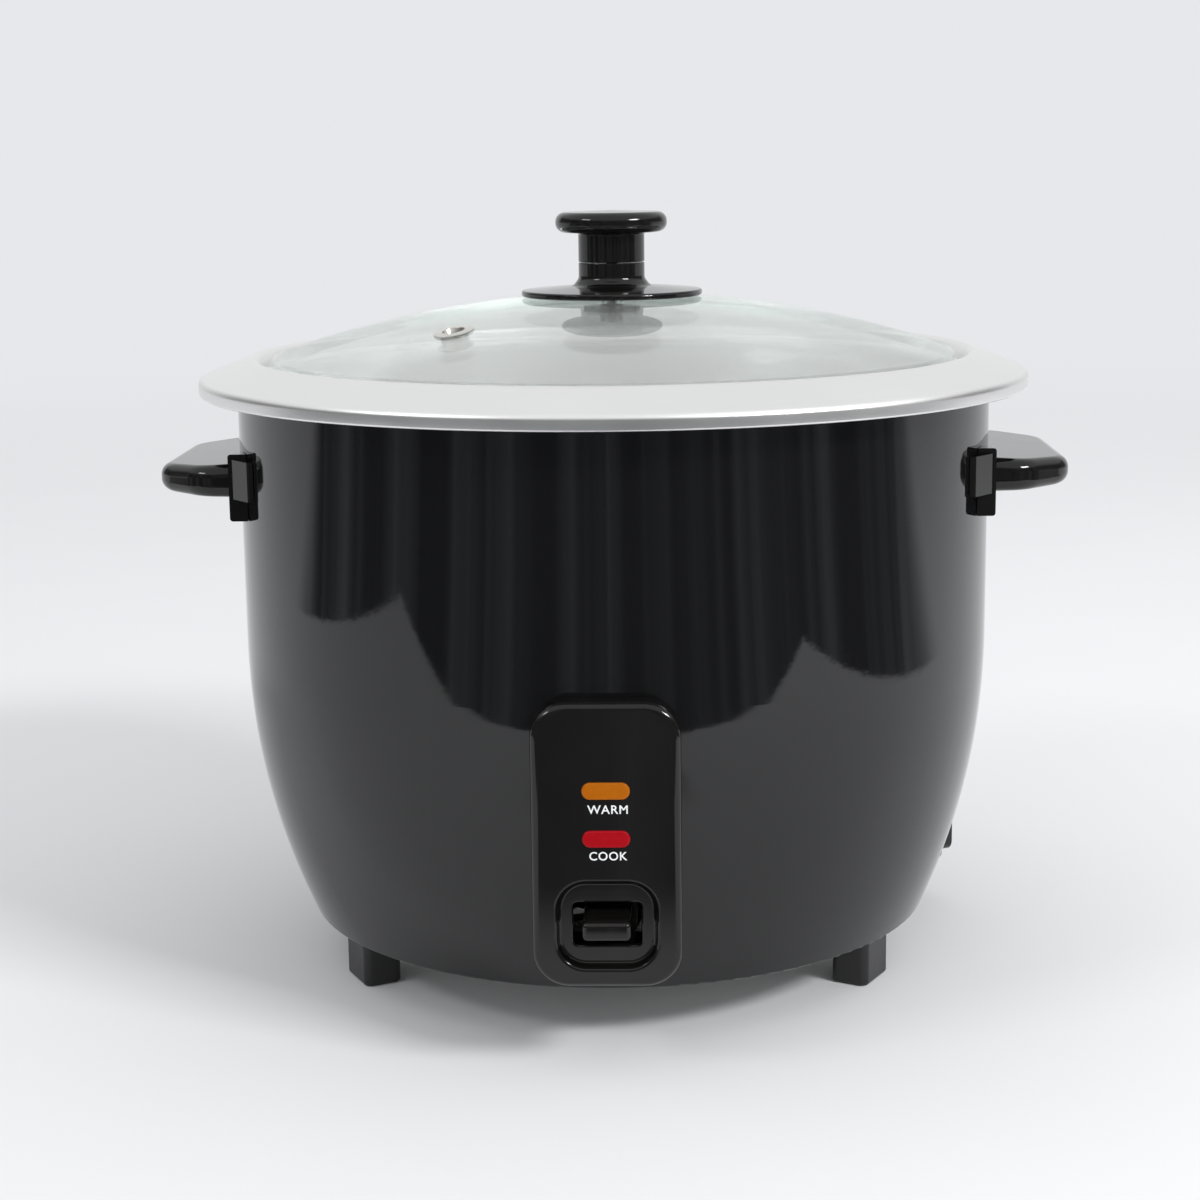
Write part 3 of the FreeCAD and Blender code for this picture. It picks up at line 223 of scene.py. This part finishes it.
def spunAluminium(name, dark, light, rough, pitch, depth):
    # fine rings left by turning, drawn from the distance to the axis and the height
    material, board, shader = newFinish(name, light, rough, Metallic=1.0)
    radius, height = board.turned()
    ring = board.add("CombineXYZ", None, {0: radius, 1: height})
    lines = board.noise(pitch, 3, ring, 0.7)
    cloud = board.noise(22, 4)
    feed(board, shader,
         Base_Color=board.blendColour(lines * 0.5 + cloud * 0.5, (*dark, 1), (*light, 1)),
         Roughness=board.ease(cloud * 0.6 + lines * 0.4, 0.3, 0.7, rough - 0.05, rough + 0.06),
         Normal=board.relief(lines, depth))
    return material


def sheetMetal(name, dark, light, rough, scale):
    material, board, shader = newFinish(name, light, rough, Metallic=1.0)
    spangle = board.add("TexVoronoi", None, {"Vector": board.place(), "Scale": scale}, out="Color")
    patch = board.add("RGBToBW", None, {0: spangle})
    fine = board.noise(700, 2)
    feed(board, shader,
         Base_Color=board.blendColour(patch * 0.7 + fine * 0.3, (*dark, 1), (*light, 1)),
         Roughness=board.ease(patch, 0.0, 1.0, rough - 0.08, rough + 0.1),
         Normal=board.relief(fine, 0.000012))
    return material


pane = {
    "colour": (0.97, 1.0, 0.978),
    "clear": 0.87,  # the rest is a slight veil
    "cover": 0.55,  # below 1, so that light reaches the pot
    "filmRough": 0.03,
    "body": (0.62, 0.88, 0.76, 1),
    "density": 5.0,
}


def lidGlass():
    material, board, shader = newFinish(
        "lidGlass", pane["colour"], 0.0, IOR=1.5, Transmission_Weight=pane["clear"], Alpha=pane["cover"],
        Coat_Weight=1.0, Coat_Roughness=0.0)
    film = board.noise(18, 4)
    feed(board, shader, Roughness=board.ease(film, 0.5, 0.8, 0.0, pane["filmRough"]))
    body = board.add("VolumeAbsorption", None, {"Color": pane["body"], "Density": pane["density"]})
    board.tree.links.new(body.socket, board.tree.nodes["Material Output"].inputs["Volume"])
    return material


def lampWindow(name, deep, bright):
    material, board, shader = newFinish(name, bright, 0.12, IOR=1.3)
    cells = board.noise(520, 2)
    drift = board.noise(160, 2)
    feed(board, shader,
         Base_Color=board.blendColour(cells * 0.55 + drift * 0.45, (*deep, 1), (*bright, 1)),
         Roughness=board.ease(cells, 0.3, 0.7, 0.1, 0.22),
         Normal=board.relief(cells, 0.00002))
    return material


def bulbGlass():
    material, board, shader = newFinish(
        "bulbGlass", (0.95, 0.94, 0.92), 0.02, IOR=1.47, Transmission_Weight=0.9)
    feed(board, shader, Roughness=board.ease(board.noise(300, 2), 0.4, 0.7, 0.01, 0.08))
    return material


def braidSleeve(name, dark, light):
    material, board, shader = newFinish(name, light, 0.7)
    weave = board.add("TexVoronoi", None, {"Vector": board.place(), "Scale": 1500.0})
    feed(board, shader,
         Base_Color=board.blendColour(board.ease(weave, 0.0, 0.7), (*light, 1), (*dark, 1)),
         Roughness=board.ease(weave, 0.0, 0.8, 0.6, 0.85),
         Normal=board.relief(1 - weave, 0.00015))
    return material


def printInk():
    material, board, shader = newFinish("printInk", (0.82, 0.84, 0.84), 0.35)
    patchy = board.noise(1800, 3)
    feed(board, shader,
         Base_Color=board.blendColour(patchy, (0.74, 0.76, 0.77, 1), (0.86, 0.88, 0.88, 1)),
         Roughness=board.ease(patchy, 0.3, 0.7, 0.3, 0.45))
    return material


wear(drumEnamel(), "outer_shell")
glossBlack = glossMoulding()
wear(glossBlack, "control_panel", "handle_right", "handle_left", "knob_base", "knob_top")
wear(matteMoulding("footMoulding", (0.009, 0.009, 0.0095), (0.016, 0.016, 0.017), 0.34),
     "foot_rear", "foot_front_left", "foot_front_right", "power_inlet", "micro_switch",
     "keep_warm_thermostat")
wear(matteMoulding("ceramicWhite", (0.62, 0.60, 0.55), (0.78, 0.77, 0.73), 0.5),
     "lamp_holder", "switch_plunger", "terminal_beads")
potAluminium = spunAluminium(
    "potAluminium", (0.85, 0.845, 0.84), (0.93, 0.925, 0.92), 0.36, 2600.0, 0.000002)
wear(potAluminium, "sensor_cap", "thermal_fuse")
wear(spunAluminium("eyeletMetal", (0.62, 0.60, 0.56), (0.80, 0.78, 0.74), 0.2, 2000.0, 0.000005),
     "vent_grommet")
wear(spunAluminium("plateCasting", (0.45, 0.45, 0.455), (0.66, 0.66, 0.67), 0.42, 1400.0, 0.00004),
     "heating_plate")
wear(sheetMetal("zincSheet", (0.42, 0.42, 0.40), (0.64, 0.64, 0.62), 0.36, 160.0),
     "chassis_plate", "bottom_cover", "lever_bracket", "limiter_strap", "fuse_clips", "cook_lever",
     "heater_posts")
screwSteel = sheetMetal("screwSteel", (0.40, 0.40, 0.40), (0.60, 0.60, 0.61), 0.3, 900.0)
wear(screwSteel, "foot_screws", "panel_screws", "heater_screws", "plate_screws", "switch_screws",
     "lever_pin", "pull_rod", "knob_screw", "lid_washer", "limiter_magnet")
wear(sheetMetal("pinPlating", (0.52, 0.48, 0.38), (0.74, 0.70, 0.60), 0.24, 700.0),
     "inlet_pins", "element_terminals")
wear(sheetMetal("elementSheath", (0.22, 0.21, 0.20), (0.36, 0.34, 0.32), 0.45, 400.0),
     "heating_element")
wear(matteMoulding("ferriteGrey", (0.03, 0.03, 0.032), (0.07, 0.07, 0.072), 0.55), "sensor_ferrite")
wear(matteMoulding("gasketRubber", (0.16, 0.16, 0.16), (0.24, 0.24, 0.24), 0.6), "lid_gasket")
wear(lidGlass(), "glass_lid")
wear(lampWindow("amberWindow", (0.33, 0.082, 0.0005), (0.46, 0.13, 0.001)), "amber_lens")
wear(lampWindow("redWindow", (0.29, 0.001, 0.005), (0.40, 0.002, 0.008)), "red_lens")
wear(bulbGlass(), "amber_lamp", "red_lamp")
wear(braidSleeve("leadSleeve", (0.40, 0.38, 0.33), (0.72, 0.70, 0.64)),
     "live_lead", "fuse_lead", "neutral_lead", "switch_lead", "lamp_leads")
wear(braidSleeve("earthSleeve", (0.07, 0.20, 0.03), (0.30, 0.46, 0.08)), "earth_lead")
print("finishes made:", len(bpy.data.materials))


# Pot: a profile is extruded point by point, its corners are rounded, and it is spun

def roundCorner(piece, before, corner, after):
    spot, one, other = (Vector((point[0], 0, point[1])) * mm for point in (corner, before, after))
    between = (one - spot).angle(other - spot)
    bpy.ops.mesh.select_all(action="DESELECT")
    bpy.ops.object.mode_set(mode="OBJECT")
    for vertex in piece.data.vertices:
        vertex.select = (vertex.co - spot).length < 0.00001
    bpy.ops.object.mode_set(mode="EDIT")
    bpy.ops.mesh.bevel(offset=corner[2] * mm / math.tan(between / 2), segments=8, affect="VERTICES")


def spinPiece(name, corners, finish, steps=224):
    bpy.ops.object.select_all(action="DESELECT")
    bpy.ops.mesh.primitive_plane_add(size=mm)
    piece = bpy.context.object
    piece.name = name
    bpy.ops.object.mode_set(mode="EDIT")
    bpy.ops.mesh.select_mode(type="VERT")
    bpy.ops.mesh.select_all(action="SELECT")
    bpy.ops.mesh.merge(type="CENTER")
    bpy.ops.transform.translate(value=(corners[0][0] * mm, 0, corners[0][1] * mm))
    for last, following in zip(corners, corners[1:]):
        step = ((following[0] - last[0]) * mm, 0, (following[1] - last[1]) * mm)
        bpy.ops.mesh.extrude_vertices_move(TRANSFORM_OT_translate={"value": step})
    for before, corner, after in zip(corners, corners[1:], corners[2:]):
        if len(corner) > 2:
            roundCorner(piece, before, corner, after)
    bpy.ops.mesh.select_all(action="SELECT")
    bpy.ops.mesh.spin(steps=steps, angle=math.tau, center=(0, 0, 0), axis=(0, 0, 1))
    bpy.ops.mesh.select_all(action="SELECT")
    bpy.ops.mesh.remove_doubles(threshold=0.000002)
    bpy.ops.mesh.normals_make_consistent(inside=False)
    bpy.ops.object.mode_set(mode="OBJECT")
    bpy.ops.object.shade_smooth_by_angle(angle=math.radians(40))
    piece.data.materials.append(finish)
    return piece


pot = {
    "sheet": 1.6,
    "under": 74.3,
    "lowRadius": 109.5,
    "wallRadius": 111,
    "bend": 24,
    "ledge": 202.9,
    "stepRadius": 117.4,
    "stepUnder": 118.4,
    "crestRadius": 120,
    "crest": 208.5,
    "crestUnder": (120.8, 206.5),
    "brimRadius": 139,
    "brimTop": 201.4,
    "brimUnder": 200.1,
    "brimLow": 196.6,
    "hem": 0.72,
    "crease": 0.6,
    "lipRound": 1.2,
    "brimRound": 2.3,
    "crestRound": 2.4,
}


def makePot():
    sheet = pot["sheet"]
    inside = pot["under"] + sheet
    hemRadius = pot["brimRadius"] - sheet
    crease = pot["crease"]
    piece = spinPiece("drawnPot", [
        (0, pot["under"]),
        (pot["lowRadius"] + sheet, pot["under"], pot["bend"] + sheet),
        (pot["wallRadius"] + sheet, pot["ledge"] - sheet, crease),
        (pot["stepUnder"], pot["ledge"] - sheet, crease),
        (*pot["crestUnder"], crease),
        (hemRadius, pot["brimUnder"], 0.7),
        (hemRadius, pot["brimLow"], pot["hem"]),
        (pot["brimRadius"], pot["brimLow"], pot["hem"]),
        (pot["brimRadius"], pot["brimTop"], pot["brimRound"]),
        (pot["crestRadius"], pot["crest"], pot["crestRound"]),
        (pot["stepRadius"], pot["ledge"], crease),
        (pot["wallRadius"], pot["ledge"], pot["lipRound"]),
        (pot["lowRadius"], inside, pot["bend"]),
        (0, inside),
    ], potAluminium)
    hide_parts("inner_pot")
    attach(piece, "pot")


makePot()


# The lever's tongue, a block with well rounded edges

tongue = {"round": 1.5, "steps": 7}


def makeTongue():
    low, high = (Vector(corner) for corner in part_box("lever_tongue"))
    bpy.ops.object.select_all(action="DESELECT")
    bpy.ops.mesh.primitive_cube_add(size=1, location=(low + high) / 2, scale=high - low)
    piece = bpy.context.object
    piece.name = "roundTongue"
    bpy.ops.object.transform_apply(location=True, rotation=True, scale=True)
    soften = piece.modifiers.new("soften", "BEVEL")
    soften.width = tongue["round"] * mm
    soften.segments = tongue["steps"]
    bpy.ops.object.modifier_apply(modifier="soften")
    bpy.ops.object.shade_smooth()
    piece.data.materials.append(glossBlack)
    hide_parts("lever_tongue")
    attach(piece, "lever")


makeTongue()
print("tongue rounded")


# Springs: a circle wound up its axis, one for the sensor and one for the limiter

springs = {
    "sensor_spring": {"ring": 14.9, "wire": 0.6, "turns": 6},
    "limiter_spring": {"ring": 4.6, "wire": 0.4, "turns": 4},
}


def makeSpring(node):
    size = springs[node]
    low, high = (Vector(corner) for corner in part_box(node))
    wire = size["wire"] * mm
    bpy.ops.object.select_all(action="DESELECT")
    bpy.ops.mesh.primitive_circle_add(
        vertices=14, radius=wire, location=(size["ring"] * mm, 0, low.z + wire), rotation=(math.pi / 2, 0, 0))
    coil = bpy.context.object
    coil.name = node.replace("_s", "S")
    bpy.ops.object.transform_apply(location=True, rotation=True, scale=True)
    winding = coil.modifiers.new("winding", "SCREW")
    winding.iterations = size["turns"]
    winding.screw_offset = (high.z - low.z - 2 * wire) / size["turns"]
    winding.steps = winding.render_steps = 40
    bpy.ops.object.modifier_apply(modifier="winding")
    bpy.ops.object.mode_set(mode="EDIT")
    bpy.ops.mesh.select_all(action="SELECT")
    bpy.ops.mesh.fill_holes(sides=20)
    bpy.ops.mesh.normals_make_consistent(inside=False)
    bpy.ops.object.mode_set(mode="OBJECT")
    bpy.ops.object.shade_smooth_by_angle(angle=math.radians(60))
    coil.data.materials.append(screwSteel)
    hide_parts(node)
    return coil, low, high


coil, low, high = makeSpring("sensor_spring")
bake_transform(coil)
coil, low, high = makeSpring("limiter_spring")
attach(coil, "base")
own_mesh(coil)
print("springs wound:", len(springs))


# Screws with a cross recess, modelled once per length and copied to their places

fixing = {
    "head": 3.0,
    "thick": 2.0,
    "shank": 1.5,
    "edge": 0.6,
    "slotLong": 3.5,
    "slotWide": 0.8,
    "slotDeep": 1.1,
}


def makeScrew(length):
    bpy.ops.object.select_all(action="DESELECT")
    bpy.ops.mesh.primitive_cylinder_add(vertices=48, radius=fixing["head"] * mm, depth=fixing["thick"] * mm,
                                        location=(0, 0, fixing["thick"] * mm / 2))
    head = bpy.context.object
    soften = head.modifiers.new("soften", "BEVEL")
    soften.width = fixing["edge"] * mm
    soften.segments = 4
    bpy.ops.object.modifier_apply(modifier="soften")
    for wide, deep in (("slotLong", "slotWide"), ("slotWide", "slotLong")):
        bpy.ops.mesh.primitive_cube_add(size=mm, location=(0, 0, fixing["thick"] * mm), scale=(
            fixing[wide], fixing[deep], 2 * fixing["slotDeep"]))
        cutter = bpy.context.object
        bpy.context.view_layer.objects.active = head
        recess = head.modifiers.new("recess", "BOOLEAN")
        recess.operation = "DIFFERENCE"
        recess.object = cutter
        bpy.ops.object.modifier_apply(modifier="recess")
        bpy.data.objects.remove(cutter)
    bpy.ops.mesh.primitive_cylinder_add(vertices=32, radius=fixing["shank"] * mm, depth=length * mm,
                                        location=(0, 0, -length * mm / 2))
    head.select_set(True)
    bpy.context.view_layer.objects.active = head
    bpy.ops.object.join()
    bpy.ops.object.transform_apply()
    bpy.ops.object.shade_smooth_by_angle(angle=math.radians(35))
    return head


def placeScrews(node, length, spots):
    first = makeScrew(length)
    copies = []
    for spot, outward in spots:
        copy = first.copy()
        copy.data = first.data.copy()
        scene.collection.objects.link(copy)
        copy.rotation_mode = "QUATERNION"
        copy.rotation_quaternion = Vector(outward).to_track_quat("Z", "Y")
        copy.location = Vector(spot) * mm
        copies.append(copy)
    bpy.data.objects.remove(first)
    bpy.ops.object.select_all(action="DESELECT")
    for copy in copies:
        copy.select_set(True)
    whole = bpy.context.view_layer.objects.active = copies[0]
    bpy.ops.object.transform_apply(location=True, rotation=True, scale=True)
    bpy.ops.object.join()
    whole.name = node.replace("_s", "S")
    whole.data.materials.append(screwSteel)
    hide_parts(node)
    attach(whole, "base")


def turned(degrees, out, aside, up):
    swing = math.radians(degrees)
    across = out * math.cos(swing) - aside * math.sin(swing)
    along = out * math.sin(swing) + aside * math.cos(swing)
    return across, along, up


coverScrews = {"ring": 70, "under": 15.4, "long": 7.9}
inletScrews = {"turn": 24, "face": 117.5, "aside": 20, "high": 31, "long": 14}
handleScrews = {"face": 122.3, "aside": 24, "high": 170, "long": 16}
placeScrews("cover_screws", coverScrews["long"], [
    (turned(degrees, coverScrews["ring"], 0, coverScrews["under"]), (0, 0, -1)) for degrees in (0, 120, 240)])
placeScrews("inlet_screws", inletScrews["long"], [
    (turned(inletScrews["turn"], inletScrews["face"], side * inletScrews["aside"], inletScrews["high"]),
     turned(inletScrews["turn"], 1, 0, 0)) for side in (-1, 1)])
placeScrews("handle_screws", handleScrews["long"], [
    (turned(degrees, handleScrews["face"], side * handleScrews["aside"], handleScrews["high"]),
     turned(degrees + 180, 1, 0, 0)) for degrees in (0, 180) for side in (-1, 1)])
print("screws placed")


# Lettering under the two lamp windows

words = {
    "WARM": {"middle": (0.5, 85.0), "wide": 11.9},
    "COOK": {"middle": (0.6, 70.8), "wide": 11.2},
}
lettering = {"high": 2.62, "capShare": 0.7, "bold": 0.045, "gap": 1.1, "thick": 0.05, "face": -134.0}


def printWord(text, spot, ink):
    bpy.ops.object.select_all(action="DESELECT")
    bpy.ops.object.text_add(location=(0, 0, 0))
    word = bpy.context.object
    word.name = "word" + text.capitalize()
    word.data.body = text
    word.data.align_x = "CENTER"
    word.data.size = lettering["high"] * mm / lettering["capShare"]
    word.data.offset = lettering["bold"] * mm
    word.data.space_character = lettering["gap"]
    word.data.extrude = lettering["thick"] * mm / 2
    word.data.resolution_u = 6
    bpy.ops.object.convert(target="MESH")
    low = Vector([min(v.co[i] for v in word.data.vertices) for i in range(3)])
    high = Vector([max(v.co[i] for v in word.data.vertices) for i in range(3)])
    size = high - low
    middle = (low + high) / 2
    stretch = Matrix.Diagonal((spot["wide"] * mm / size.x, lettering["high"] * mm / size.y, 1, 1))
    stand = Matrix.Rotation(math.pi / 2, 4, "X")
    across, up = spot["middle"]
    shift = Matrix.Translation((across * mm, (lettering["face"] - lettering["thick"] / 2) * mm, up * mm))
    word.data.transform(shift @ stand @ stretch @ Matrix.Translation(-middle))
    word.data.materials.clear()
    word.data.materials.append(ink)
    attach(word, "base")


ink = printInk()
for text, spot in words.items():
    printWord(text, spot, ink)
print("lettering made:", len(words), "words")


# Stage: floor, light and camera

studio = {
    "pale": (0.800, 0.806, 0.830),
    "ambient": 0.76,
    "mirrorPale": 0.84,
    "room": (0.07, 0.266),  # the darker side of the room, as gloss shows it
    "floorRoom": (0.084, 0.42),
    "cool": (0.93, 0.96, 1.0),
    "paper": ((0.85, 0.853, 0.868, 1), (0.88, 0.883, 0.898, 1)),
    "floorRadius": 14,
    "floorFront": -0.43,
    "floorLeft": -0.74,
    "floorRight": 0.58,
    "floorBack": 0.1,
    # a floor patch in front that only glossy rays see: painted dark reflection on the panel's middle
    "darkReflectionPatch": (0.09, -0.28),
    "floorFade": (0.75, 2.4),
    "behind": (0.55, 0.78),
    "above": (0.30, 0.55),
}


rays = ("Is Camera Ray", "Is Glossy Ray", "Is Transmission Ray")


def below(wire, level, soft):
    return wire.board.ease(wire, level - soft, level + soft, 1.0, 0.0)


def makeFloor():
    bpy.ops.object.select_all(action="DESELECT")
    bpy.ops.mesh.primitive_circle_add(vertices=96, radius=studio["floorRadius"], fill_type="NGON")
    floor = bpy.context.object
    floor.name = "paleFloor"
    material = bpy.data.materials.new("paleFloor")
    material.use_nodes = True
    board = Board(material.node_tree)
    board.tree.nodes.clear()
    where = board.add("SeparateXYZ", None, {0: board.place()})
    across, along = (Wire(board, where.socket.node.outputs[i]) for i in range(2))
    radius = (across * across + along * along) ** 0.5
    seen, glossy, through = (board.add("LightPath", out=kind) for kind in rays)
    paper = board.noise(6, 3)
    colour = board.blendColour(paper, *studio["paper"])
    matte = board.add("BsdfDiffuse", None, {"Color": colour})
    far = board.add("Emission", None, {"Color": (*studio["pale"], 1)})
    azimuth = board.add("Math", {"operation": "ARCTAN2"}, {0: across, 1: along})
    stripes = board.noise(5.5, 3, board.add("CombineXYZ", None, {0: azimuth}))
    dark, light = ((*(level * part for part in studio["cool"]), 1) for level in studio["floorRoom"])
    striped = board.blendColour(board.ease(stripes, 0.4, 0.72), dark, light)
    room = board.add("Emission", None, {"Color": striped})
    # past these edges, and in a patch in front, glossy surfaces see the room instead of the pale floor; the
    # patch is a painted dark reflection across the middle of the panel
    edgeFront = below(along, studio["floorFront"], 0.01)
    edgeLeft = below(across, studio["floorLeft"], 0.01)
    edgeRight = 1 - below(across, studio["floorRight"], 0.01)
    edgeSide = (edgeLeft + edgeRight) * below(along, studio["floorBack"], 0.1)
    half, start = studio["darkReflectionPatch"]
    darkReflectionPatch = below((across * across) ** 0.5, half, 0.02) * below(along, start, 0.05)
    past = board.largest(edgeFront, edgeSide, darkReflectionPatch)
    fade = board.ease(radius, *studio["floorFade"]) * board.largest(seen, glossy, through)
    paleFloor = board.add("MixShader", None, {0: fade, 1: matte, 2: far})
    whole = board.add("MixShader", None, {0: past * glossy, 1: paleFloor, 2: room})
    output = board.tree.nodes.new("ShaderNodeOutputMaterial")
    board.tree.links.new(whole.socket, output.inputs["Surface"])
    floor.data.materials.append(material)
    floor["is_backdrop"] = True


def makeWorld():
    world = bpy.data.worlds.new("studioRoom")
    scene.world = world
    world.use_nodes = True
    board = Board(world.node_tree)
    board.tree.nodes.clear()
    toward = board.add("SeparateXYZ", None, {0: board.add("TexCoord", out="Generated")})
    across, along, up = (Wire(board, toward.socket.node.outputs[i]) for i in range(3))
    behind = board.ease(along, *studio["behind"])
    above = board.ease(up, *studio["above"])
    lit = board.largest(behind, above)
    azimuth = board.add("Math", {"operation": "ARCTAN2"}, {0: across, 1: along})
    stripes = board.noise(3.2, 3, board.add("CombineXYZ", None, {0: azimuth}))
    dim = board.ease(stripes, 0.35, 0.7, *studio["room"])
    seen, glossy, through = (board.add("LightPath", out=kind) for kind in rays)
    mirrored = dim + lit * (studio["mirrorPale"] - dim)
    shown = board.largest(seen, through)
    level = (1 - glossy) * studio["ambient"] + glossy * mirrored
    plain = board.add("Background", None, {"Color": (*studio["pale"], 1), "Strength": 1.0})
    light = board.add("Background", None, {"Color": (0.98, 0.99, 1.0, 1), "Strength": level})
    both = board.add("MixShader", None, {0: shown, 1: light, 2: plain})
    output = board.tree.nodes.new("ShaderNodeOutputWorld")
    board.tree.links.new(both.socket, output.inputs["Surface"])


aim = (0, 0, 0.12)
softboxes = {
    "rightBox": {"place": (1.62, -1.20, 1.38), "size": (0.75, 0.34), "watts": 32},
    "leftBox": {"place": (-1.75, -1.15, 1.60), "size": (0.75, 0.34), "watts": 8},
}


def makeLights():
    for name, lamp in softboxes.items():
        bpy.ops.object.light_add(type="AREA", location=lamp["place"])
        light = bpy.context.object
        light.name = name
        light.data.shape = "RECTANGLE"
        light.data.size, light.data.size_y = lamp["size"]
        light.data.energy = lamp["watts"]
        light.rotation_mode = "QUATERNION"
        light.rotation_quaternion = (Vector(aim) - Vector(lamp["place"])).to_track_quat("-Z", "Y")


lens = {
    "focal": 69.0,
    "sensor": 36.0,
    "away": 0.7828,
    "high": 0.27535,
    "down": 11.14,
    "roll": -0.728,
    "round": 1.5,
    "pan": 0.39,
}


def makeCamera():
    bpy.ops.object.camera_add()
    camera = bpy.context.object
    camera.name = "viewCamera"
    camera.data.lens = lens["focal"]
    camera.data.sensor_width = lens["sensor"]
    camera.data.clip_start = 0.02
    camera.data.clip_end = 60
    swing = math.radians(lens["round"])
    turn = Matrix.Rotation(swing + math.radians(lens["pan"]), 4, "Z")
    tilt = Matrix.Rotation(math.radians(90 - lens["down"]), 4, "X")
    roll = Matrix.Rotation(math.radians(lens["roll"]), 4, "Z")
    spot = Vector((math.sin(swing) * lens["away"], -math.cos(swing) * lens["away"], lens["high"]))
    camera.matrix_world = Matrix.Translation(spot) @ turn @ tilt @ roll
    scene.camera = camera


makeFloor()
makeWorld()
makeLights()
makeCamera()
print("stage set")

low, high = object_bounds()
